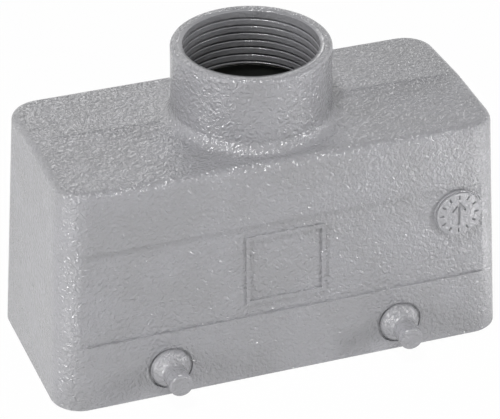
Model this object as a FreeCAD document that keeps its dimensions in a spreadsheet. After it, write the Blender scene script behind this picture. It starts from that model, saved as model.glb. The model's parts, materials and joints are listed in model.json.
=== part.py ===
import FreeCAD, Part

import os
import re

import Sketcher

# Cable hood of a heavy duty rectangular connector, with the contact insert it holds.
# Millimetres. The origin is the middle of the rim that stands on the table. +Z points to the
# cable entry, +X along the long side, and -Y to the face that carries the round disc.

SIZES = {
    # Hood casting. A slope is the lean of a wall for each millimetre of height.
    "hood_length": 93.5,
    "hood_width": 42.0,
    "eaves_height": 47.5,
    "roof_rise": 0.9,
    "end_slope": 0.051,
    "side_slope": 0.0244,
    "corner_radius": 6.2,
    "crest_round": 30.0,
    "roof_round": 1.7,
    "rim_bevel": 0.2,
    "wall": 3.0,
    "roof_thickness": 3.0,
    "ceiling_round": 1.5,
    # Cable entry: a round neck with a bore for a Pg 21 thread, 28.3 across.
    "neck_height": 14.6,
    "thread_radius": 14.15,
    "neck_wall": 1.55,
    "neck_round": 0.7,
    "neck_fillet": 2.2,
    "mouth_chamfer": 0.15,
    # Shallow flat band along each long side.
    "panel_low": 14.2,
    "panel_high": 34.7,
    "panel_depth": 0.4,
    # Raised round disc and the raised frame of the blank label field, on the front band.
    "disc_inset": 10.75,
    "disc_margin": 0.95,
    "disc_radius": 5.0,
    "disc_raise": 0.5,
    "disc_round": 0.15,
    "label_long": 16.4,
    "label_margin": 2.7,
    "label_line": 0.8,
    "label_raise": 0.3,
    # Locking pegs, each on a stub that sits in a shallow round seat of the wall.
    "peg_along": 24.0,
    "peg_height": 6.2,
    "peg_reach": 6.8,
    "peg_base_radius": 4.05,
    "peg_base_thick": 0.6,
    "peg_cone_end": 2.4,
    "peg_tip_radius": 2.4,
    "peg_shoulder_round": 1.6,
    "peg_hollow_round": 1.2,
    "peg_tip_round": 0.45,
    "peg_shank_radius": 2.5,
    "shank_play": 0.02,
    "seat_gap": 0.5,
    "seat_depth": 0.35,
    # Screw bosses that the insert is fixed to.
    "seat_height": 17.2,
    "flange_gap": 0.6,
    "screw_inset": 3.5,
    "boss_bite": 0.7,
    "tap_depth": 11.0,
    "thread_play": 0.05,
    "hole_play": 0.25,
    # Insulator of the contact insert.
    "flange_thick": 3.0,
    "flange_corner": 3.5,
    "skirt_bottom": 1.0,
    "skirt_gap": 1.25,
    "skirt_inset": 3.5,
    "skirt_wall": 2.0,
    "skirt_corner": 2.0,
    "mouth_corner": 1.0,
    "mouth_floor_drop": 1.0,
    "key_along": 12.0,
    "key_width": 2.0,
    "key_raise": 1.0,
    "block_gap": 1.0,
    "block_inset": 3.0,
    "block_height": 17.0,
    "block_corner": 1.0,
    # Contacts: a pin below, a block with a wire hole and a clamp screw above.
    "contacts_per_row": 8,
    "row_offset": 5.5,
    "row_end_margin": 6.4,
    "pin_radius": 1.25,
    "pin_recess": 1.5,
    "pin_tip_round": 0.9,
    "collar_radius": 1.7,
    "collar_height": 2.2,
    "terminal_long": 5.2,
    "terminal_inner": 2.2,
    "terminal_outer": 4.2,
    "terminal_tall": 12.0,
    "terminal_play": 0.1,
    "wire_radius": 1.4,
    "wire_depth": 9.5,
    "clamp_drop": 5.0,
    "clamp_radius": 1.5,
    "clamp_end": 0.7,
    "clamp_lift": 0.8,
    "clamp_head_radius": 2.4,
    "clamp_head_thick": 1.6,
    "clamp_hole_play": 0.2,
    "slot_width": 0.8,
    "slot_depth": 0.8,
    # Earth terminals at the two ends, between the bosses and the flange.
    "earth_thick": 1.2,
    "earth_edge": 0.4,
    "earth_corner": 3.0,
    "tab_width": 11.0,
    "tab_height": 12.0,
    "earth_screw_rise": 7.0,
    "nut_size": 7.0,
    "nut_thick": 2.2,
    "nut_play": 0.1,
    "saddle_size": 8.0,
    "saddle_thick": 1.0,
    "earth_head_radius": 4.0,
    "earth_head_thick": 2.6,
    # Fixing screws, cheese head M4, with spring lock washers.
    "screw_radius": 2.0,
    "screw_length": 14.0,
    "head_radius": 3.5,
    "head_thick": 2.6,
    "screw_slot_width": 1.2,
    "screw_slot_depth": 1.2,
    "washer_thick": 0.9,
    "washer_play": 0.1,
    "washer_split": 0.8,
    # How far a cutting shape runs past the face that it opens.
    "cut_over": 1.0,
}

doc = FreeCAD.newDocument("connector_hood")
sheet = doc.addObject("Spreadsheet::Sheet", "sizes")
for row, (alias, number) in enumerate(SIZES.items(), 1):
    sheet.set("A%d" % row, alias)
    sheet.set("B%d" % row, str(number))
    sheet.setAlias("B%d" % row, alias)
doc.recompute()


# Levels above the rim, as formulas of size names.
RIDGE = "(eaves_height + roof_rise)"
NECK_TOP = "(%s + neck_height)" % RIDGE
CEILING = "(eaves_height - roof_thickness)"
FLANGE_TOP = "(seat_height - earth_thick)"
FLANGE_BOTTOM = "(%s - flange_thick)" % FLANGE_TOP
MOUTH_FLOOR = "(%s - mouth_floor_drop)" % FLANGE_TOP
BLOCK_TOP = "(%s + block_height)" % FLANGE_TOP
TERMINAL_BASE = "(%s + collar_height)" % MOUTH_FLOOR
TERMINAL_TOP = "(%s + terminal_tall)" % TERMINAL_BASE
CLAMP_LEVEL = "(%s - clamp_drop)" % TERMINAL_TOP
EARTH_LEVEL = "(%s + earth_screw_rise)" % FLANGE_TOP
HEAD_TOP = "(%s - washer_thick)" % FLANGE_BOTTOM

# Half sizes and places in plan, worked inwards from the hood's walls.
FLANGE_LONG = "(hood_length/2 - wall - end_slope*seat_height - flange_gap)"
FLANGE_WIDE = "(hood_width/2 - wall - side_slope*seat_height - flange_gap)"
SCREW_LONG = "(%s - screw_inset)" % FLANGE_LONG
SCREW_WIDE = "(%s - screw_inset)" % FLANGE_WIDE
BOSS_RADIUS = "(screw_inset + flange_gap + boss_bite)"
SKIRT_LONG = "(%s - head_radius - skirt_gap)" % SCREW_LONG
SKIRT_WIDE = "(%s - skirt_inset)" % FLANGE_WIDE
MOUTH_LONG = "(%s - skirt_wall)" % SKIRT_LONG
MOUTH_WIDE = "(%s - skirt_wall)" % SKIRT_WIDE
BLOCK_LONG = "(%s - %s - block_gap)" % (SCREW_LONG, BOSS_RADIUS)
BLOCK_WIDE = "(%s - block_inset)" % FLANGE_WIDE
TAB_FACE = "(%s + earth_thick)" % BLOCK_LONG
SADDLE_FACE = "(%s + saddle_thick)" % TAB_FACE
NECK_RADIUS = "(thread_radius + neck_wall)"
NECK_ROOM = "(hood_width/2 - side_slope*eaves_height - %s)" % NECK_RADIUS
DISC_ALONG = "(hood_length/2 - disc_inset)"
DISC_LEVEL = "(panel_high - disc_margin - disc_radius)"
PEG_WALL = "(hood_width/2 - side_slope*peg_height)"
CLAMP_HEAD = "(terminal_outer + clamp_lift)"

# The most of the roof's flat between neck and long side that each of its two roundings may take.
EDGE_SHARE, FOOT_SHARE = 0.45, 0.54

# A cylinder is made along +Z; these turns lay it along another direction.
UPRIGHT = ((0, 0, 1), 0)
ALONG_X = ((0, 1, 0), 90)
ALONG_Y = ((1, 0, 0), -90)
AGAINST_Y = ((1, 0, 0), 90)
HALF_TURN = ((0, 0, 1), 180)


def formula(text):
    """Write a formula of size names as an expression on the sheet."""
    return re.sub(r"[a-z_]+", lambda word: "sizes." + word[0] if word[0] in SIZES else word[0], str(text))


def value(text):
    """Work out a formula of size names as a number."""
    number = sheet.evalExpression(formula(text))
    return float(getattr(number, "Value", number))


def bind(thing, formulas):
    """Tie the properties of an object to formulas of size names."""
    for name, text in formulas.items():
        thing.setExpression(name, formula(text))
    return thing


def place(thing, at, turn=UPRIGHT):
    """Put an object at a point of three formulas, turned about an axis by degrees or by a formula."""
    axis, angle = turn
    rotation = FreeCAD.Rotation(FreeCAD.Vector(*axis), value(angle))
    thing.Placement = FreeCAD.Placement(FreeCAD.Vector(), rotation)
    bind(thing, {"Placement.Base." + direction: text for direction, text in zip("xyz", at)})
    if isinstance(angle, str):
        bind(thing, {"Placement.Rotation.Angle": angle})
    return thing


def body(name, at=("0", "0", "0"), turn=UPRIGHT):
    """Start a sub-part whose label is its name."""
    owner = doc.addObject("PartDesign::Body", name)
    owner.Label = name
    return place(owner, at, turn)


def form(owner, kind, name, at, turn, formulas):
    """Add or cut one primitive of a sub-part, such as AdditiveBox or SubtractiveCylinder."""
    thing = owner.newObject("PartDesign::" + kind, name)
    return bind(place(thing, at, turn), formulas)


def box(owner, kind, name, low, high):
    """Add or cut a box between two corners, each of three formulas."""
    edges = ["(%s) - (%s)" % (end, start) for start, end in zip(low, high)]
    return form(owner, kind + "Box", name, low, UPRIGHT, dict(zip(("Length", "Width", "Height"), edges)))


def centred_box(owner, kind, name, half_long, half_wide, bottom, top):
    """Add or cut a box that is centred on the Z axis."""
    return box(owner, kind, name, ("-" + half_long, "-" + half_wide, bottom), (half_long, half_wide, top))


def rod(owner, kind, name, radius, at, length, turn=UPRIGHT):
    """Add or cut a cylinder that starts at a point and runs the way that the turn lays it."""
    return form(owner, kind + "Cylinder", name, at, turn, {"Radius": radius, "Height": length})


def dress(owner, kind, name, size, chosen):
    """Round (Fillet) or bevel (Chamfer) those edges of the sub-part that a test on their points picks."""
    doc.recompute()
    base = owner.Tip
    names = []
    for index, edge in enumerate(base.Shape.Edges, 1):
        first, last = edge.ParameterRange
        if chosen([edge.valueAt(first + (last - first) * share) for share in (0.0, 0.37, 1.0)]):
            names.append("Edge%d" % index)
    if not names:
        raise RuntimeError("no edge to dress for " + name)
    thing = owner.newObject("PartDesign::" + kind, name)
    thing.Base = (base, names)
    return bind(thing, {"Radius" if kind == "Fillet" else "Size": size})


def near(number, target, slack=0.02):
    return abs(number - target) < slack


def from_axis(point):
    """Distance of a point from the Z axis."""
    return (point.x ** 2 + point.y ** 2) ** 0.5


def rises(points, height):
    """True for an edge that climbs more than a height."""
    return abs(points[0].z - points[-1].z) > height


def origin_item(owner, role):
    """A plane or axis of a sub-part's own origin."""
    return next(item for item in owner.Origin.OriginFeatures if item.Role == role)


def sketch(owner, name, role, loops, offset="0"):
    """Draw closed outlines in an origin plane, or at an offset from it along its normal.

    An outline is a list of corners, or the centre and radius of a circle as three formulas. A corner
    is a pair of formulas. A third one is the radius of an arc to the next corner, which turns left;
    without it the line to the next corner is straight.
    """
    drawing = owner.newObject("Sketcher::SketchObject", name)
    drawing.AttachmentSupport = [(origin_item(owner, role), "")]
    drawing.MapMode = "FlatFace"
    bind(drawing, {"AttachmentOffset.Base.z": offset})

    def limit(kind, line, text, point=None):
        """Hold a line's point or an arc's radius at a formula."""
        where = (line,) if point is None else (line, point)
        index = drawing.addConstraint(Sketcher.Constraint(kind, *where, value(text)))
        drawing.setExpression("Constraints[%d]" % index, formula(text))

    for corners in loops:
        first = drawing.GeometryCount
        if isinstance(corners, tuple):
            across, up, radius = corners
            middle = FreeCAD.Vector(value(across), value(up), 0)
            drawing.addGeometry(Part.Circle(middle, FreeCAD.Vector(0, 0, 1), value(radius)))
            limit("DistanceX", first, across, 3)
            limit("DistanceY", first, up, 3)
            limit("Radius", first, radius)
            continue
        spots = [FreeCAD.Vector(value(corner[0]), value(corner[1]), 0) for corner in corners]
        for corner, start, end in zip(corners, spots, spots[1:] + spots[:1]):
            if len(corner) == 3:
                chord = end - start
                radius = value(corner[2])
                rise = radius - (radius ** 2 - chord.Length ** 2 / 4) ** 0.5
                outwards = FreeCAD.Vector(chord.y, -chord.x, 0).normalize()
                drawing.addGeometry(Part.Arc(start, (start + end) * 0.5 + outwards * rise, end))
            else:
                drawing.addGeometry(Part.LineSegment(start, end))
        for step, corner in enumerate(corners):
            line, following = first + step, first + (step + 1) % len(corners)
            drawing.addConstraint(Sketcher.Constraint("Coincident", line, 2, following, 1))
            limit("DistanceX", line, corner[0], 1)
            limit("DistanceY", line, corner[1], 1)
            if len(corner) == 3:
                limit("Radius", line, corner[2])
    return drawing


def pocket(owner, name, role, loops, offset, depth):
    """Cut outlines drawn at an offset from an origin plane, against its normal, to a depth."""
    cut = owner.newObject("PartDesign::Pocket", name)
    cut.Profile = sketch(owner, name + "_outline", role, loops, offset)
    return bind(cut, {"Length": depth})


def cut_along_x(owner, name, loops):
    """Cut outlines drawn in the Y-Z plane through the whole length of a sub-part."""
    cut = owner.newObject("PartDesign::Pocket", name)
    cut.Profile = sketch(owner, name + "_outline", "YZ_Plane", loops)
    cut.Type = "ThroughAll"
    cut.Midplane = True
    return cut


def end_half(inset, level):
    """Half length of the hood at a level, less an inset."""
    return "(hood_length/2 - (%s) - end_slope*(%s))" % (inset, level)


def side_half(inset, level):
    """Half width of the hood at a level, less an inset."""
    return "(hood_width/2 - (%s) - side_slope*(%s))" % (inset, level)


def tapered(owner, kind, name, inset, low, high):
    """Add or cut a block with the hood's draft: a wedge whose own Y axis is turned up to Z."""
    formulas = {"Ymin": low, "Ymax": high}
    for prefix, level in (("", low), ("2", high)):
        for axis, half in (("X", end_half(inset, level)), ("Z", side_half(inset, level))):
            formulas[axis + prefix + "min"] = "-" + half
            formulas[axis + prefix + "max"] = half
    return form(owner, kind + "Wedge", name, ("0", "0", "0"), ((1, 0, 0), 90), formulas)


def four_corners():
    """The signs of the four corners in plan."""
    return [(along, across) for along in (-1, 1) for across in (-1, 1)]


def hood_shell(owner):
    """Outside of the casting: tapered block, shallow gable roof with a soft crest, and round neck."""
    tapered(owner, "Additive", "outer_block", "0", "0", RIDGE)
    dress(owner, "Fillet", "outer_corners", "corner_radius", lambda p: rises(p, 10))
    dress(owner, "Chamfer", "rim_edge", "rim_bevel", lambda p: all(near(q.z, 0) for q in p))
    roof_half = side_half("0", "eaves_height")
    pitch = "(roof_rise/%s)" % roof_half
    crest_half = "(crest_round*sin(atan(%s)))" % pitch
    crest_level = "(%s - %s*%s)" % (RIDGE, crest_half, pitch)
    low = "(eaves_height - roof_rise)"
    high = "(%s + cut_over)" % RIDGE
    far = "2*" + roof_half
    cut_along_x(owner, "gable", [[(far, low), (crest_half, crest_level, "crest_round"),
                                  ("-" + crest_half, crest_level), ("-" + far, low),
                                  ("-" + far, high), (far, high)]])
    eaves, crest = value("eaves_height"), value(crest_half)
    dress(owner, "Fillet", "roof_edge", "min(roof_round; %s*%s)" % (EDGE_SHARE, NECK_ROOM),
          lambda p: all(q.z > eaves - 0.3 for q in p) and
          not (all(abs(q.y) < crest + 1 for q in p) and abs(p[0].x - p[-1].x) > 10))
    rod(owner, "Additive", "neck", NECK_RADIUS, ("0", "0", CEILING), "%s - %s" % (NECK_TOP, CEILING))
    radius, top = value(NECK_RADIUS), value(NECK_TOP)
    dress(owner, "Fillet", "neck_foot", "min(neck_fillet; %s*%s)" % (FOOT_SHARE, NECK_ROOM),
          lambda p: all(near(from_axis(q), radius) and q.z < top - 1 for q in p) and not rises(p, 2))
    dress(owner, "Fillet", "neck_rim", "neck_round",
          lambda p: all(near(from_axis(q), radius) and near(q.z, top) for q in p))


def hood_hollow(owner):
    """Inside of the casting: tapered cavity, corner bosses and the bore of the cable entry."""
    tapered(owner, "Subtractive", "cavity", "wall", "-cut_over", CEILING)

    def inner_corner(points):
        ends = [abs(abs(q.x) - value(end_half("wall", q.z))) < 0.05 for q in points]
        sides = [abs(abs(q.y) - value(side_half("wall", q.z))) < 0.05 for q in points]
        return all(ends) and all(sides) and rises(points, 10)

    dress(owner, "Fillet", "inner_corners", "max(corner_radius - wall; ceiling_round + 0.5)", inner_corner)
    ceiling = value(CEILING)
    dress(owner, "Fillet", "ceiling_edge", "ceiling_round", lambda p: all(near(q.z, ceiling) for q in p))
    for along, across in four_corners():
        spot = ("%d*%s" % (along, SCREW_LONG), "%d*%s" % (across, SCREW_WIDE))
        rod(owner, "Additive", "boss", BOSS_RADIUS, spot + ("seat_height",),
            "%s + roof_thickness/2 - seat_height" % CEILING)
        rod(owner, "Subtractive", "boss_tap", "screw_radius + thread_play",
            spot + ("seat_height - cut_over",), "tap_depth + cut_over")
    rod(owner, "Subtractive", "entry_bore", "thread_radius", ("0", "0", CEILING + " - cut_over"),
        "%s - %s + 2*cut_over" % (NECK_TOP, CEILING))
    radius, top = value("thread_radius"), value(NECK_TOP)
    dress(owner, "Chamfer", "entry_mouth", "mouth_chamfer",
          lambda p: all(near(from_axis(q), radius) and near(q.z, top) for q in p))


def hood_faces(owner):
    """Details of the long sides: flat bands, round disc, label frame and peg seats."""
    far = "(hood_width/2 + cut_over)"
    low_face, high_face = side_half("panel_depth", "panel_low"), side_half("panel_depth", "panel_high")
    bands = [[("%d*%s" % (side, low_face), "panel_low"), ("%d*%s" % (side, high_face), "panel_high"),
              ("%d*%s" % (side, far), "panel_high"), ("%d*%s" % (side, far), "panel_low")]
             for side in (-1, 1)]
    cut_along_x(owner, "side_bands", bands)
    disc_face = side_half("panel_depth", DISC_LEVEL)
    rod(owner, "Additive", "disc", "disc_radius", (DISC_ALONG, "-(%s - disc_raise)" % disc_face, DISC_LEVEL),
        "2*disc_raise", ((1, 0, 0), "90 deg - atan(side_slope)"))
    front = value(disc_face) + value("disc_raise")
    along, level = value(DISC_ALONG), value(DISC_LEVEL)
    dress(owner, "Fillet", "disc_edge", "disc_round",
          lambda p: all(near(q.y, -front, 0.2) and
                        near(((q.x - along) ** 2 + (q.z - level) ** 2) ** 0.5, value("disc_radius"), 0.05)
                        for q in p))
    bottom, top = "(panel_low + label_margin)", "(panel_high - label_margin)"
    label_tall = "(%s - %s)" % (top, bottom)
    lean = ((1, 0, 0), "-atan(side_slope)")
    half = "label_long/2"
    bars = [("-" + half, bottom, "label_long", "label_line"),
            ("-" + half, top + " - label_line", "label_long", "label_line"),
            ("-" + half, bottom, "label_line", label_tall),
            (half + " - label_line", bottom, "label_line", label_tall)]
    for left, level, long, tall in bars:
        face = side_half("panel_depth", level)
        form(owner, "AdditiveBox", "label_bar", (left, "-(%s + label_raise)" % face, level), lean,
             {"Length": long, "Width": "2*label_raise", "Height": tall})
    for along, across in four_corners():
        turn = ALONG_Y if across > 0 else AGAINST_Y
        spot = "%d*peg_along" % along
        rod(owner, "Subtractive", "peg_hole", "peg_shank_radius + shank_play",
            (spot, "%d*(%s - wall - cut_over)" % (across, PEG_WALL), "peg_height"),
            "wall + 2*cut_over", turn)
        rod(owner, "Subtractive", "peg_seat", "peg_base_radius + seat_gap",
            (spot, "%d*(%s - seat_depth)" % (across, PEG_WALL), "peg_height"),
            "seat_depth + cut_over", turn)


def hood():
    owner = body("hood")
    hood_shell(owner)
    hood_hollow(owner)
    hood_faces(owner)
    return owner


def peg(name, along, across):
    """Locking peg, turned about its own Y axis, which points out of the wall."""
    owner = body(name, ("%d*peg_along" % along, "0", "peg_height"), HALF_TURN if across < 0 else UPRIGHT)
    inner = "(%s - wall)" % PEG_WALL
    seat = "(%s - seat_depth)" % PEG_WALL
    corners = [("0", inner), ("peg_shank_radius", inner), ("peg_shank_radius", seat),
               ("peg_base_radius", seat), ("peg_base_radius", PEG_WALL + " + peg_base_thick"),
               ("peg_tip_radius", PEG_WALL + " + peg_cone_end"),
               ("peg_tip_radius", PEG_WALL + " + peg_reach"), ("0", PEG_WALL + " + peg_reach")]
    turned = owner.newObject("PartDesign::Revolution", "turned_form")
    turned.Profile = sketch(owner, "peg_profile", "XY_Plane", [corners])
    turned.ReferenceAxis = (turned.Profile[0], ["V_Axis"])
    turned.Angle = 360

    def ring(radius, reach):
        """Pick the circular edge of a radius at a distance from the hood's middle plane."""
        return lambda p: all(near((q.x ** 2 + q.z ** 2) ** 0.5, value(radius)) and
                             near(q.y, value(PEG_WALL) + value(reach)) for q in p)

    dress(owner, "Fillet", "shoulder", "peg_shoulder_round", ring("peg_base_radius", "peg_base_thick"))
    dress(owner, "Fillet", "hollow", "peg_hollow_round", ring("peg_tip_radius", "peg_cone_end"))
    dress(owner, "Fillet", "tip", "peg_tip_round", ring("peg_tip_radius", "peg_reach"))
    return owner


def contact_places():
    """Number, place along X as a formula, and side of every contact."""
    last = int(SIZES["contacts_per_row"]) - 1
    spots = []
    for across in (-1, 1):
        for step in range(last + 1):
            share = "(2*%d/(contacts_per_row - 1) - 1)" % step
            spots.append((len(spots) + 1, "(%s - row_end_margin)*%s" % (BLOCK_LONG, share), across))
    return spots


def insulator():
    """Moulded body of the insert: flange, skirt round the pins and block round the terminals."""
    owner = body("insulator")
    centred_box(owner, "Additive", "flange", FLANGE_LONG, FLANGE_WIDE, FLANGE_BOTTOM, FLANGE_TOP)
    dress(owner, "Fillet", "flange_corners", "flange_corner", lambda p: rises(p, 1))
    centred_box(owner, "Additive", "skirt", SKIRT_LONG, SKIRT_WIDE, "skirt_bottom", FLANGE_BOTTOM)
    skirt_tall = value("%s - skirt_bottom" % FLANGE_BOTTOM)
    dress(owner, "Fillet", "skirt_corners", "skirt_corner", lambda p: rises(p, skirt_tall - 0.1))
    centred_box(owner, "Additive", "block", BLOCK_LONG, BLOCK_WIDE, FLANGE_TOP, BLOCK_TOP)
    dress(owner, "Fillet", "block_corners", "block_corner", lambda p: rises(p, value("block_height") - 0.1))
    centred_box(owner, "Subtractive", "mouth", MOUTH_LONG, MOUTH_WIDE, "skirt_bottom - cut_over",
                MOUTH_FLOOR)
    mouth_long = value(MOUTH_LONG)
    dress(owner, "Fillet", "mouth_corners", "mouth_corner",
          lambda p: rises(p, skirt_tall) and all(near(abs(q.x), mouth_long) for q in p))
    for along in (-1, 1):
        middle = "%d*key_along" % along
        box(owner, "Additive", "key_rib",
            (middle + " - key_width/2", MOUTH_WIDE + " - key_raise", "skirt_bottom"),
            (middle + " + key_width/2", MOUTH_WIDE + " + skirt_wall/2", MOUTH_FLOOR))
    contact_cells(owner)
    for along, across in four_corners():
        rod(owner, "Subtractive", "screw_hole", "screw_radius + hole_play",
            ("%d*%s" % (along, SCREW_LONG), "%d*%s" % (across, SCREW_WIDE), FLANGE_BOTTOM + " - cut_over"),
            "flange_thick + 2*cut_over")
    half = "(nut_size/2 + nut_play)"
    deep = "(nut_thick + nut_play)"
    for along in (-1, 1):
        near_face, far_face = BLOCK_LONG + " - " + deep, BLOCK_LONG + " + cut_over"
        low, high = (near_face, far_face) if along > 0 else ("-(%s)" % far_face, "-(%s)" % near_face)
        box(owner, "Subtractive", "nut_pocket", (low, "-" + half, EARTH_LEVEL + " - " + half),
            (high, half, EARTH_LEVEL + " + " + half))
    return owner


def contact_cells(owner):
    """Cut the contacts' places: the first cell of the front row, along the row, and mirrored behind."""
    spot = "-(%s - row_end_margin)" % BLOCK_LONG
    inner = "(row_offset - terminal_inner - terminal_play)"
    outer = "(row_offset + terminal_outer + terminal_play)"
    left, right = (spot + sign + "(terminal_long/2 + terminal_play)" for sign in (" - ", " + "))
    above, below = BLOCK_TOP + " + cut_over", MOUTH_FLOOR + " - cut_over"
    side = BLOCK_WIDE + " + cut_over"
    corners = [(left, "-" + outer), (right, "-" + outer), (right, "-" + inner), (left, "-" + inner)]
    chamber = pocket(owner, "chamber", "XY_Plane", [corners], above, "%s - %s" % (above, TERMINAL_BASE))
    collar = (spot, "-row_offset", "collar_radius + terminal_play")
    collar_hole = pocket(owner, "collar_hole", "XY_Plane", [collar], above, "%s - (%s)" % (above, below))
    head = (spot, CLAMP_LEVEL, "clamp_head_radius + clamp_hole_play")
    window = pocket(owner, "clamp_window", "XZ_Plane", [head], side, "%s - %s" % (side, outer))
    doc.recompute()
    row = owner.newObject("PartDesign::LinearPattern", "along_row")
    row.Direction = (origin_item(owner, "X_Axis"), [""])
    bind(row, {"Length": "2*(%s - row_end_margin)" % BLOCK_LONG, "Occurrences": "contacts_per_row"})
    rows = owner.newObject("PartDesign::Mirrored", "both_rows")
    rows.MirrorPlane = (origin_item(owner, "XZ_Plane"), [""])
    cells = owner.newObject("PartDesign::MultiTransform", "cells")
    cells.Originals = [chamber, collar_hole, window]
    cells.Transformations = [row, rows]
    owner.Tip = cells


def contact(number, spot, across):
    """Pin with its collar and terminal block; its own +Y points to the hood's nearer long side."""
    owner = body("contact_%02d" % number, (spot, "%d*row_offset" % across, "0"),
                 HALF_TURN if across < 0 else UPRIGHT)
    tip = "(skirt_bottom + pin_recess)"
    rod(owner, "Additive", "pin", "pin_radius", ("0", "0", tip), "%s - %s" % (MOUTH_FLOOR, tip))
    tip_level = value(tip)
    dress(owner, "Fillet", "pin_tip", "pin_tip_round", lambda p: all(near(q.z, tip_level) for q in p))
    rod(owner, "Additive", "collar", "collar_radius", ("0", "0", MOUTH_FLOOR), "collar_height")
    half = "terminal_long/2"
    box(owner, "Additive", "terminal", ("-" + half, "-terminal_inner", TERMINAL_BASE),
        (half, "terminal_outer", TERMINAL_TOP))
    rod(owner, "Subtractive", "wire_bore", "wire_radius", ("0", "0", TERMINAL_TOP + " - wire_depth"),
        "wire_depth + cut_over")
    rod(owner, "Subtractive", "clamp_tap", "clamp_radius + thread_play", ("0", "0", CLAMP_LEVEL),
        "terminal_outer + cut_over", ALONG_Y)
    return owner


def clamp_screw(number, spot, across):
    """Terminal clamp screw along its own +Y, with a slotted head in the insulator's window."""
    owner = body("clamp_screw_%02d" % number, (spot, "%d*row_offset" % across, CLAMP_LEVEL),
                 HALF_TURN if across < 0 else UPRIGHT)
    rod(owner, "Additive", "shank", "clamp_radius", ("0", "clamp_end", "0"), "%s - clamp_end" % CLAMP_HEAD,
        ALONG_Y)
    rod(owner, "Additive", "head", "clamp_head_radius", ("0", CLAMP_HEAD, "0"), "clamp_head_thick", ALONG_Y)
    face = "(%s + clamp_head_thick)" % CLAMP_HEAD
    box(owner, "Subtractive", "slot",
        ("-clamp_head_radius - cut_over", face + " - slot_depth", "-slot_width/2"),
        ("clamp_head_radius + cut_over", face + " + cut_over", "slot_width/2"))
    return owner


def earth_plate(name, turn):
    """Bent plate under two bosses, with an upright tab against the end of the terminal block."""
    owner = body(name, turn=turn)
    edge_long, edge_wide = "(%s - earth_edge)" % FLANGE_LONG, "(%s - earth_edge)" % FLANGE_WIDE
    box(owner, "Additive", "foot", (BLOCK_LONG, "-" + edge_wide, FLANGE_TOP),
        (edge_long, edge_wide, "seat_height"))
    outer = value(edge_long)
    dress(owner, "Fillet", "foot_corners", "earth_corner",
          lambda p: rises(p, 0.5) and all(near(q.x, outer) for q in p))
    box(owner, "Additive", "tab", (BLOCK_LONG, "-tab_width/2", FLANGE_TOP),
        (TAB_FACE, "tab_width/2", FLANGE_TOP + " + tab_height"))
    for across in (-1, 1):
        spot = (SCREW_LONG, "%d*%s" % (across, SCREW_WIDE), FLANGE_TOP + " - cut_over")
        rod(owner, "Subtractive", "foot_hole", "screw_radius + hole_play", spot, "earth_thick + 2*cut_over")
    rod(owner, "Subtractive", "tab_hole", "screw_radius + hole_play",
        (BLOCK_LONG + " - cut_over", "0", EARTH_LEVEL), "earth_thick + 2*cut_over", ALONG_X)
    return owner


def square_plate(name, turn, start, thick, size, hole):
    """Square plate across the X axis with a round hole, such as a nut or a clamp plate."""
    owner = body(name, turn=turn)
    half = "%s/2" % size
    box(owner, "Additive", "square", (start, "-" + half, EARTH_LEVEL + " - " + half),
        ("%s + %s" % (start, thick), half, EARTH_LEVEL + " + " + half))
    rod(owner, "Subtractive", "hole", hole, (start + " - cut_over", "0", EARTH_LEVEL),
        "%s + 2*cut_over" % thick, ALONG_X)
    return owner


def earth_screw(name, turn):
    """Earth clamp screw along X, through clamp plate and tab into the nut."""
    owner = body(name, turn=turn)
    rod(owner, "Additive", "shank", "screw_radius", (BLOCK_LONG + " - nut_thick", "0", EARTH_LEVEL),
        "nut_thick + earth_thick + saddle_thick", ALONG_X)
    rod(owner, "Additive", "head", "earth_head_radius", (SADDLE_FACE, "0", EARTH_LEVEL), "earth_head_thick",
        ALONG_X)
    face = "(%s + earth_head_thick)" % SADDLE_FACE
    reach = "earth_head_radius + cut_over"
    box(owner, "Subtractive", "slot",
        (face + " - screw_slot_depth", "-(%s)" % reach, EARTH_LEVEL + " - screw_slot_width/2"),
        (face + " + cut_over", reach, EARTH_LEVEL + " + screw_slot_width/2"))
    return owner


def fixing_screw(name, along, across):
    """Cheese head screw from below, through washer, flange and earth plate into a boss."""
    owner = body(name, ("%d*%s" % (along, SCREW_LONG), "%d*%s" % (across, SCREW_WIDE), "0"))
    rod(owner, "Additive", "shank", "screw_radius", ("0", "0", HEAD_TOP), "screw_length")
    rod(owner, "Additive", "head", "head_radius", ("0", "0", HEAD_TOP + " - head_thick"), "head_thick")
    face = "(%s - head_thick)" % HEAD_TOP
    box(owner, "Subtractive", "slot",
        ("-head_radius - cut_over", "-screw_slot_width/2", face + " - cut_over"),
        ("head_radius + cut_over", "screw_slot_width/2", face + " + screw_slot_depth"))
    return owner


def lock_washer(name, along, across):
    """Split spring washer between a screw head and the flange."""
    owner = body(name, ("%d*%s" % (along, SCREW_LONG), "%d*%s" % (across, SCREW_WIDE), "0"))
    rod(owner, "Additive", "ring", "head_radius", ("0", "0", HEAD_TOP), "washer_thick")
    rod(owner, "Subtractive", "eye", "screw_radius + washer_play", ("0", "0", HEAD_TOP + " - cut_over"),
        "washer_thick + 2*cut_over")
    box(owner, "Subtractive", "split", ("0", "-washer_split/2", HEAD_TOP + " - cut_over"),
        ("head_radius + cut_over", "washer_split/2", FLANGE_BOTTOM + " + cut_over"))
    return owner


SIDES = {(-1, -1): "front_left", (1, -1): "front_right", (-1, 1): "back_left", (1, 1): "back_right"}
ENDS = {"left": HALF_TURN, "right": UPRIGHT}

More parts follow.
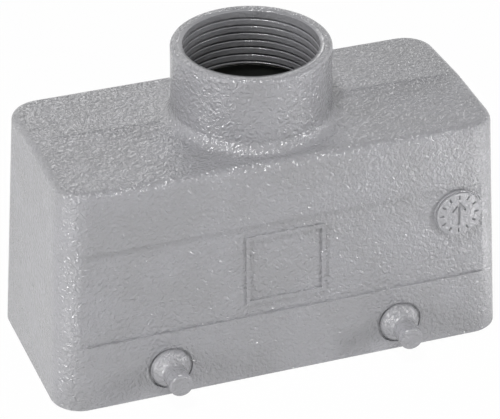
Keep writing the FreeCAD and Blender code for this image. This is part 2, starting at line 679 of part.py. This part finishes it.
subparts = [hood(), insulator()]
for (along, across), side in SIDES.items():
    subparts.append(peg("peg_" + side, along, across))
    subparts.append(fixing_screw("fixing_screw_" + side, along, across))
    subparts.append(lock_washer("lock_washer_" + side, along, across))
for number, spot, across in contact_places():
    subparts.append(contact(number, spot, across))
    subparts.append(clamp_screw(number, spot, across))
for end, turn in ENDS.items():
    subparts.append(earth_plate("earth_plate_" + end, turn))
    subparts.append(square_plate("earth_nut_" + end, turn, "(%s - nut_thick)" % BLOCK_LONG, "nut_thick",
                                 "nut_size", "screw_radius + thread_play"))
    subparts.append(square_plate("earth_clamp_" + end, turn, TAB_FACE, "saddle_thick", "saddle_size",
                                 "screw_radius + hole_play"))
    subparts.append(earth_screw("earth_screw_" + end, turn))

doc.recompute()
for thing in doc.Objects:
    if "Invalid" in thing.State or "Error" in thing.State:
        raise RuntimeError("failed: %s %s" % (thing.Label, thing.State))
for owner in subparts:
    if owner.Shape.isNull() or not owner.Shape.isValid() or len(owner.Shape.Solids) != 1:
        raise RuntimeError("bad shape: " + owner.Label)

os.makedirs("parts", exist_ok=True)
for owner in subparts:
    owner.Shape.exportStep("parts/%s.step" % owner.Label)
    box_size = owner.Shape.BoundBox
    print("%s: %.1f mm3, z %.2f to %.2f" % (owner.Label, owner.Shape.Volume, box_size.ZMin, box_size.ZMax))
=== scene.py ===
"""Looks of a heavy duty connector hood with its male contact insert.

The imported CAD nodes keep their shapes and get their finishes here. Four pieces are added where the
casting has detail that the solids leave out: the cable entry's thread, the dial on the round disc
and the two halves of the parting line on the roof. Sizes are in millimetres unless a line says so.
"""

import json

import bpy
import numpy as np
from mathutils import Matrix, Vector


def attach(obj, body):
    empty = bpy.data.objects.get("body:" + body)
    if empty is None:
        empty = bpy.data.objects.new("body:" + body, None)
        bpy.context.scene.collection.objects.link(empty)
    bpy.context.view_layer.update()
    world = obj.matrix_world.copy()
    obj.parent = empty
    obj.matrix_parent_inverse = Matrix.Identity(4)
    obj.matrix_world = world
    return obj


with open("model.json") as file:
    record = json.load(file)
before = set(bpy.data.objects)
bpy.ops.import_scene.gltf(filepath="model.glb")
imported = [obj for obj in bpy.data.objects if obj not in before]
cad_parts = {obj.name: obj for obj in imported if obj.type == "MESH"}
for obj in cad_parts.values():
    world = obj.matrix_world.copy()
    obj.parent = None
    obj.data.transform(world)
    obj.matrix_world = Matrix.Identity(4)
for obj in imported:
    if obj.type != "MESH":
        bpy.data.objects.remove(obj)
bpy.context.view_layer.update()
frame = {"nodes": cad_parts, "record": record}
MM = 0.001
WAVE_PERIOD = np.pi / 10  # length of one wave of the wave texture at scale 1


# ---------------------------------------------------------------- camera, at the photograph's angle
def photo_camera():
    """Camera from a fit of the hood's corners, rim and neck to the photograph."""
    eye = Vector((-173.18, -472.25, 332.12)) * MM
    forward = Vector((0.28929, 0.80246, -0.52189)).normalized()
    nearly_up = Vector((0.17596, 0.49133, 0.85301))
    right = forward.cross(nearly_up).normalized()
    turn = Matrix((right, right.cross(forward), -forward)).transposed()
    data = bpy.data.cameras.new("photo_camera")
    data.sensor_width, data.lens = 36.0, 213.19
    data.shift_x, data.shift_y = 0.02668, 0.00786
    data.clip_start, data.clip_end = 0.02, 20.0
    camera = bpy.data.objects.new("photo_camera", data)
    bpy.context.scene.collection.objects.link(camera)
    camera.matrix_world = Matrix.Translation(eye) @ turn.to_4x4()
    bpy.context.scene.camera = camera


# ---------------------------------------------------------------- materials
def hex_linear(code):
    """Turns an sRGB hex value into the linear colour that the shaders use."""
    parts = [int(code[i:i + 2], 16) / 255 for i in (0, 2, 4)]
    return [v / 12.92 if v <= 0.04045 else ((v + 0.055) / 1.055) ** 2.4 for v in parts] + [1.0]


def per_metre(size_mm):
    """Texture scale at which a pattern's patches are size_mm across on the object."""
    return 1 / (size_mm * MM)


def add(tree, kind, inputs=None, stops=(), **settings):
    """Adds one node with its settings; an input is a plain value, or (node, output) for a link.

    stops places the two stops of a colour ramp, each by its position and its sRGB hex value.
    """
    node = tree.nodes.new("ShaderNode" + kind)
    for name, value in settings.items():
        setattr(node, name, value)
    for number, (position, code) in enumerate(stops):
        node.color_ramp.elements[number].position = position
        node.color_ramp.elements[number].color = hex_linear(code)
    for socket, value in (inputs or {}).items():
        if isinstance(value, tuple) and isinstance(value[0], bpy.types.Node):
            tree.links.new(value[0].outputs[value[1]], node.inputs[socket])
        else:
            node.inputs[socket].default_value = value
    return node


def new_material(name):
    """An empty node material and its tree, with Object coordinates ready to read."""
    material = bpy.data.materials.new(name)
    material.use_nodes = True
    tree = material.node_tree
    tree.nodes.clear()
    return material, tree, add(tree, "TexCoord")


def powder_coat(name, depth_mm):
    """Polyester powder coat, sprayed and baked on the casting; depth_mm is its texture's depth.

    The powder flows out into a wrinkled, hammered skin: grey with hardly a tint, satin, and its low
    bumps break every highlight on an edge into white speckles.
    """
    material, tree, place = new_material(name)
    peel = add(tree, "TexNoise", {"Vector": (place, "Object"), "Scale": per_metre(0.72),
                                  "Detail": 1.0, "Roughness": 0.4, "Distortion": 0.5})
    fine = add(tree, "TexNoise", {"Vector": (place, "Object"), "Scale": per_metre(0.34),
                                  "Detail": 1.0, "Roughness": 0.4})
    cloud = add(tree, "TexNoise", {"Vector": (place, "Object"), "Scale": per_metre(9.0)})
    height = add(tree, "Math", {0: (fine, "Fac"), 1: 0.3, 2: (peel, "Fac")},
                 operation="MULTIPLY_ADD")
    bump = add(tree, "Bump", {"Strength": 1.0, "Distance": depth_mm * MM,
                              "Height": (height, "Value")})
    tone = add(tree, "ValToRGB", {"Fac": (cloud, "Fac")}, [(0.35, "969699"), (0.65, "9b9b9f")])
    shader = add(tree, "BsdfPrincipled", {"Base Color": (tone, "Color"), "Roughness": 0.14,
                                          "Specular IOR Level": 1.0, "Normal": (bump, "Normal")})
    add(tree, "OutputMaterial", {"Surface": (shader, "BSDF")})
    return material


def moulded_insulator():
    """Glass-filled polycarbonate, injection moulded: light warm grey, even and softly matt.

    The mould's spark texture is drawn coarser than the real one, so that it shows.
    """
    material, tree, place = new_material("moulded_polycarbonate")
    spark = add(tree, "TexNoise", {"Vector": (place, "Object"), "Scale": per_metre(0.12),
                                   "Detail": 1.0})
    cloud = add(tree, "TexNoise", {"Vector": (place, "Object"), "Scale": per_metre(14.0),
                                   "Detail": 3.0})
    bump = add(tree, "Bump", {"Strength": 0.6, "Distance": 0.008 * MM, "Height": (spark, "Fac")})
    tone = add(tree, "ValToRGB", {"Fac": (cloud, "Fac")}, [(0.0, "b0aea7"), (1.0, "b9b7b0")])
    rough = add(tree, "MapRange", {"Value": (cloud, "Fac"), "To Min": 0.42, "To Max": 0.52})
    shader = add(tree, "BsdfPrincipled", {"Base Color": (tone, "Color"), "IOR": 1.58,
                                          "Roughness": (rough, "Result"),
                                          "Normal": (bump, "Normal")})
    add(tree, "OutputMaterial", {"Surface": (shader, "BSDF")})
    return material


def silver_plate():
    """Silver plate on a turned copper alloy pin: warm white metal with faint turning rings.

    The rings lie 0.69 mm apart, coarser than the tool's real feed, so that they show.
    """
    material, tree, place = new_material("silver_plated_contact")
    rings = add(tree, "TexWave", {"Vector": (place, "Object"), "Distortion": 0.6, "Detail": 1.0,
                                  "Scale": WAVE_PERIOD * per_metre(0.691)}, bands_direction="Z")
    haze = add(tree, "TexNoise", {"Vector": (place, "Object"), "Scale": per_metre(1.6)})
    bump = add(tree, "Bump", {"Strength": 0.35, "Distance": 0.004 * MM, "Height": (rings, "Fac")})
    tone = add(tree, "ValToRGB", {"Fac": (haze, "Fac")}, [(0.0, "d9d5cb"), (1.0, "e8e6e0")])
    rough = add(tree, "MapRange", {"Value": (haze, "Fac"), "To Min": 0.2, "To Max": 0.34})
    shader = add(tree, "BsdfPrincipled", {"Base Color": (tone, "Color"), "Metallic": 1.0,
                                          "Roughness": (rough, "Result"),
                                          "Normal": (bump, "Normal")})
    add(tree, "OutputMaterial", {"Surface": (shader, "BSDF")})
    return material


def zinc_plate():
    """Bright zinc plate on pressed and turned steel: bluish white metal, cloudy from passivation.

    Faint streaks run along x, as the sheet was rolled.
    """
    material, tree, place = new_material("bright_zinc_plate")
    cloud = add(tree, "TexNoise", {"Vector": (place, "Object"), "Scale": per_metre(2.2),
                                   "Detail": 3.0})
    drawn = add(tree, "Mapping", {"Vector": (place, "Object"), "Scale": (0.1, 1.0, 1.0)})
    streak = add(tree, "TexNoise", {"Vector": (drawn, "Vector"), "Scale": per_metre(0.25)})
    bump = add(tree, "Bump", {"Strength": 0.5, "Distance": 0.006 * MM, "Height": (streak, "Fac")})
    tone = add(tree, "ValToRGB", {"Fac": (cloud, "Fac")}, [(0.0, "bfc3c9"), (1.0, "d4d6d6")])
    rough = add(tree, "MapRange", {"Value": (cloud, "Fac"), "To Min": 0.24, "To Max": 0.4})
    shader = add(tree, "BsdfPrincipled", {"Base Color": (tone, "Color"), "Metallic": 1.0,
                                          "Roughness": (rough, "Result"),
                                          "Normal": (bump, "Normal")})
    add(tree, "OutputMaterial", {"Surface": (shader, "BSDF")})
    return material


def bore_painted_shade():
    """Painted shade inside the cable entry, below the tapped length.

    A near-black, faintly green colour with a soft mottle stands in for the shade deep in the bore.
    """
    material, tree, place = new_material("painted_shade_in_bore")
    shade_mottle = add(tree, "TexNoise", {"Vector": (place, "Object"), "Scale": per_metre(3.0),
                                   "Detail": 3.0})
    fine = add(tree, "TexNoise", {"Vector": (place, "Object"), "Scale": per_metre(0.4),
                                  "Detail": 1.0})
    bump = add(tree, "Bump", {"Strength": 0.8, "Distance": 0.03 * MM, "Height": (fine, "Fac")})
    # near-black stops with a random mottle: painted shade for the bore's unlit depth
    tone = add(tree, "ValToRGB", {"Fac": (shade_mottle, "Fac")}, [(0.0, "161917"), (1.0, "2b2f2c")])
    shader = add(tree, "BsdfPrincipled", {"Base Color": (tone, "Color"), "Roughness": 0.7,
                                          "Normal": (bump, "Normal")})
    add(tree, "OutputMaterial", {"Surface": (shader, "BSDF")})
    return material


# ---------------------------------------------------------------- added pieces
def surface(name, grid, close_rows, close_columns, materials, caps=False):
    """Makes a piece from a grid of points, shape (rows, columns, 3) in millimetres.

    Each cell of the grid is one four-sided face; close_rows or close_columns joins the last row or
    column to the first, and caps closes the first and the last row with one face each.
    """
    rows, columns = grid.shape[:2]
    index = np.arange(rows * columns).reshape(rows, columns)
    if close_rows:
        index = np.vstack([index, index[:1]])
    if close_columns:
        index = np.hstack([index, index[:, :1]])
    cells = np.stack([index[:-1, :-1], index[:-1, 1:], index[1:, 1:], index[1:, :-1]], -1)
    faces = cells.reshape(-1, 4).tolist()
    if caps:
        last_row = range((rows - 1) * columns, rows * columns)
        faces += [list(range(columns))[::-1], list(last_row)]
    mesh = bpy.data.meshes.new(name)
    mesh.from_pydata((grid.reshape(-1, 3) * MM).tolist(), [], faces)
    mesh.polygons.foreach_set("use_smooth", np.ones(len(faces), bool))
    for material in materials:
        mesh.materials.append(material)
    mesh.update()
    piece = bpy.data.objects.new(name, mesh)
    bpy.context.scene.collection.objects.link(piece)
    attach(piece, "root")
    return piece


def entry_thread(paint, skin):
    """Tapped length of the cable entry, a Pg 21 thread: a closed sleeve set in the bore's wall.

    The inner wall's radius is the root radius less a flat-topped ridge that climbs one pitch per
    turn to the right. Over the last turn the ridge widens to a full land, which a nearly flat lip
    joins to the bore; a steep cone cuts the ridge away at the lower end, and below it the wall is
    plain down to the ceiling. The profile runs up the inner wall and down the outer one, and the
    turn closes on itself.
    """
    pitch, root, crest, outer = 1.588, 14.1, 13.3, 14.28
    bottom, runout, land, mouth, lip, ease = 44.6, 50.4, 62.05, 62.84, 62.94, 0.2
    # in pitches: where the ridge starts, how wide its flank is; in flanks: half the groove's floor
    start, flank, floor = 0.32, 0.14, 0.08
    plain_rows, thread_rows, steps = 5, 170, 240

    turn = np.linspace(0, 2 * np.pi, steps, endpoint=False)
    z = np.concatenate([np.linspace(bottom, runout - ease, plain_rows),
                        np.linspace(runout, mouth, thread_rows)])[:, None]
    phase = np.mod(z / pitch - turn / (2 * np.pi) - start, 1.0)
    ridge = np.clip((0.5 - np.abs(phase - 0.5)) / flank - floor, 0, 1)
    depth = (root - crest) * np.maximum(ridge, np.clip((z - land) / ease, 0, 1))
    depth = np.minimum(depth, np.maximum(z - runout, 0))
    profile = [(root - depth, z), (root, np.array([[lip]])), (outer, np.array([[lip], [bottom]]))]
    grid = np.concatenate([
        np.stack(np.broadcast_arrays(radius * np.cos(turn), radius * np.sin(turn), height), -1)
        for radius, height in profile])
    # skin is the painted shade, used on the plain wall below the thread and on the ring at the
    # bottom
    piece = surface("entry_thread", grid[:, ::-1], True, True, [paint, skin])
    rows = np.repeat(np.arange(len(grid)), steps)
    painted_shade_rows = (rows < plain_rows) | (rows >= len(grid) - 1)
    piece.data.polygons.foreach_set("material_index", painted_shade_rows.astype(np.int32))
    piece.data.update()


def dial(paint):
    """Plain dial on the round disc: a raised cap with a sunk arrow and a ring of twelve sunk ticks.

    The height above the disc is a function of radius and angle: full height inside the rim, less
    soft grooves along the arrow's shaft and two barbs and along the ticks, where the distance to a
    stroke's middle line is under half its width. The cap's edge drops to the disc and closes below.
    """
    middle_x, middle_z, lean = 36.0, 28.75, 0.0244
    half_width, band_depth, disc_height = 21.0, 0.4, 0.5
    face = half_width - band_depth - lean * middle_z + disc_height
    cap, groove, edge, rounding, sunk = 0.34, 0.31, 4.7, 0.07, 0.1
    tick_inner, tick_outer, tick_width, soft = 3.35, 3.95, 0.4, 0.1
    centre, rings, steps = 0.02, 84, 360
    # each stroke has its two ends and its width: the arrow's shaft and barbs, then the ticks
    strokes = [(0, -2.3, 0, 2.1, 0.62), (0, 2.3, -1.25, 0.75, 0.55), (0, 2.3, 1.25, 0.75, 0.55)]
    for hour in np.arange(12) * np.pi / 6:
        strokes.append((tick_inner * np.cos(hour), tick_inner * np.sin(hour),
                        tick_outer * np.cos(hour), tick_outer * np.sin(hour), tick_width))

    radius = np.concatenate([np.linspace(centre, edge - 0.12, rings), [edge - 0.04, edge, edge]])
    angle = np.linspace(0, 2 * np.pi, steps, endpoint=False)
    across, up = np.outer(radius, np.cos(angle)), np.outer(radius, np.sin(angle))
    cut = np.zeros_like(across)
    for ax, ay, bx, by, width in strokes:
        along = np.array([bx - ax, by - ay])
        share = ((across - ax) * along[0] + (up - ay) * along[1]) / (along @ along)
        share = np.clip(share, 0, 1)
        gap = np.hypot(across - ax - share * along[0], up - ay - share * along[1])
        cut = np.maximum(cut, np.clip((width / 2 - gap) / soft, 0, 1))
    height = cap - groove * cut
    height[-2:] = [[cap - rounding], [-sunk]]
    out = face + height - lean * up
    grid = np.stack([middle_x + across, -out, middle_z + up], -1)
    surface("dial", grid[::-1], False, True, [paint], caps=True)


def parting_line(paint, name, start, end):
    """Raised seam where the two halves of the casting die met, along the roof between two points.

    Across the seam the height is a low rounded bump; along it the bump grows and fades at the ends,
    and it follows the roof, which falls to each side of a rounded crest.
    """
    ridge, slope = 48.4, 0.9 / 19.841
    crest_top, crest_radius, crest_half = 48.3692, 30.0, 1.36
    half_width, bump_height, sunk, below = 0.34, 0.17, 0.03, 0.12
    fades = 14  # the bump fades over a fourteenth of the seam's length at each end

    run = np.linspace(0, 1, 120)[:, None]
    side = np.linspace(-1, 1, 9)[None, :]
    x = start[0] + (end[0] - start[0]) * run + 0 * side
    y = start[1] + (end[1] - start[1]) * run + half_width * side
    roof = np.where(np.abs(y) > crest_half, ridge - slope * np.abs(y),
                    crest_top - y ** 2 / (2 * crest_radius))
    fade = np.clip(np.minimum(run, 1 - run) * fades, 0, 1) ** 0.5
    bump = bump_height * (1 - side ** 2) * fade - sunk
    upper = np.stack([x, y, roof + bump], -1)
    lower = np.stack([x, y, roof - below], -1)[:, ::-1]
    grid = np.concatenate([upper, lower], 1)
    surface(name, grid, False, True, [paint], caps=True)


photo_camera()
paint, thin_paint = powder_coat("powder_coat_grey", 0.4), powder_coat("powder_coat_thin", 0.15)
FINISH = {"powder_coat": paint, "insulator": moulded_insulator(),
          "contact_plating": silver_plate(), "zinc_steel": zinc_plate()}
for part in frame["record"]["subparts"]:
    for slot in frame["nodes"][part["node"]].material_slots:
        slot.material = FINISH[part["material_slot"]]
# the thread takes the thin coat, and the bore below it takes painted shade
entry_thread(thin_paint, bore_painted_shade())
dial(thin_paint)
parting_line(paint, "parting_line_left", (-41.5, 2.25), (-18.2, 1.2))
parting_line(paint, "parting_line_right", (18.2, 0.6), (42.0, 0.0))


# ---------------------------------------------------------------- stage
def pale_floor(reach, lift):
    """White table top, reach metres to each side; what the camera sees of it is lifted to white.

    lift is the share of plain white that the camera sees, and the rest keeps the object's shadow.
    """
    material, tree, _ = new_material("table_white")
    path = add(tree, "LightPath")
    seen = add(tree, "Math", {0: (path, "Is Camera Ray"), 1: (path, "Is Glossy Ray")},
               operation="MAXIMUM")
    seen = add(tree, "Math", {0: (seen, "Value"), 1: (path, "Is Transmission Ray")},
               operation="MAXIMUM")
    share = add(tree, "Math", {0: (seen, "Value"), 1: lift}, operation="MULTIPLY")
    white = add(tree, "Emission", {"Color": (1, 1, 1, 1), "Strength": 1.0})
    matt = add(tree, "BsdfDiffuse", {"Color": hex_linear("f0f0f0")})
    both = add(tree, "MixShader", {0: (share, "Value"), 1: (matt, "BSDF"), 2: (white, "Emission")})
    add(tree, "OutputMaterial", {"Surface": (both, "Shader")})
    mesh = bpy.data.meshes.new("floor")
    corners = [(-reach, -reach), (reach, -reach), (reach, reach), (-reach, reach)]
    mesh.from_pydata([(x, y, -0.05 * MM) for x, y in corners], [], [(0, 1, 2, 3)])
    mesh.materials.append(material)
    floor = bpy.data.objects.new("floor", mesh)
    bpy.context.scene.collection.objects.link(floor)


def studio_world(level):
    """Soft light of one level from all round, and plain white where the camera sees past the floor.

    Glossy rays see it white, so that metal shows the background too. Overhead it dims.
    """
    world = bpy.data.worlds.new("studio")
    world.use_nodes = True
    tree = world.node_tree
    tree.nodes.clear()
    path, way = add(tree, "LightPath"), add(tree, "TexCoord")
    way = add(tree, "SeparateXYZ", {"Vector": (way, "Generated")})
    dim = add(tree, "MapRange", {"Value": (way, "Z"), "From Min": 0.4, "From Max": 0.7,
                                 "To Min": 1.0, "To Max": 0.3})
    share = add(tree, "Math", {0: (path, "Is Glossy Ray"), 1: 1 - level, 2: level},
                operation="MULTIPLY_ADD")
    share = add(tree, "Math", {0: (share, "Value"), 1: (dim, "Result")}, operation="MULTIPLY")
    seen = add(tree, "Math", {0: (path, "Is Camera Ray"), 1: (path, "Is Transmission Ray")},
               operation="MAXIMUM")
    soft = add(tree, "Background", {"Color": (1, 1, 1, 1), "Strength": (share, "Value")})
    white = add(tree, "Background", {"Color": (1, 1, 1, 1), "Strength": 1.0})
    both = add(tree, "MixShader", {0: (seen, "Value"), 1: (soft, "Background"),
                                   2: (white, "Background")})
    add(tree, "OutputWorld", {"Surface": (both, "Shader")})
    bpy.context.scene.world = world


def soft_box(name, place, aim, size, watts):
    """A rectangular studio lamp at place that looks at aim; all lengths are in metres."""
    data = bpy.data.lights.new(name, "AREA")
    data.shape, data.size, data.size_y, data.energy = "RECTANGLE", size[0], size[1], watts
    lamp = bpy.data.objects.new(name, data)
    way = Vector(aim) - Vector(place)
    turn = way.to_track_quat("-Z", "Y").to_matrix().to_4x4()
    lamp.matrix_world = Matrix.Translation(place) @ turn
    bpy.context.scene.collection.objects.link(lamp)


pale_floor(reach=3.0, lift=0.975)
studio_world(level=0.12)
OBJECT, OVERHEAD = (0, 0, 0.03), (0, 0, 5)
soft_box("right_box", (0.58, -0.34, 0.16), OBJECT, (0.06, 0.28), 2.3)
soft_box("left_box", (-0.64, -0.22, 0.16), OBJECT, (0.06, 0.28), 2.3)
soft_box("top_box", (-0.2, -0.24, 0.84), OBJECT, (0.16, 0.16), 4.2)
soft_box("back_box", (0.1, 0.74, 0.4), OBJECT, (0.26, 0.26), 0.7)
# low strips at table height, which give the bright bands on the upright corners and the neck
soft_box("left_strip", (-0.115, -0.055, 0.002), OVERHEAD, (0.008, 0.12), 0.012)
soft_box("right_strip", (0.092, -0.034, 0.002), OVERHEAD, (0.008, 0.06), 0.011)
soft_box("front_strip", (0.081, -0.077, 0.002), OVERHEAD, (0.01, 0.05), 0.018)

bpy.context.scene.view_settings.view_transform = "Standard"
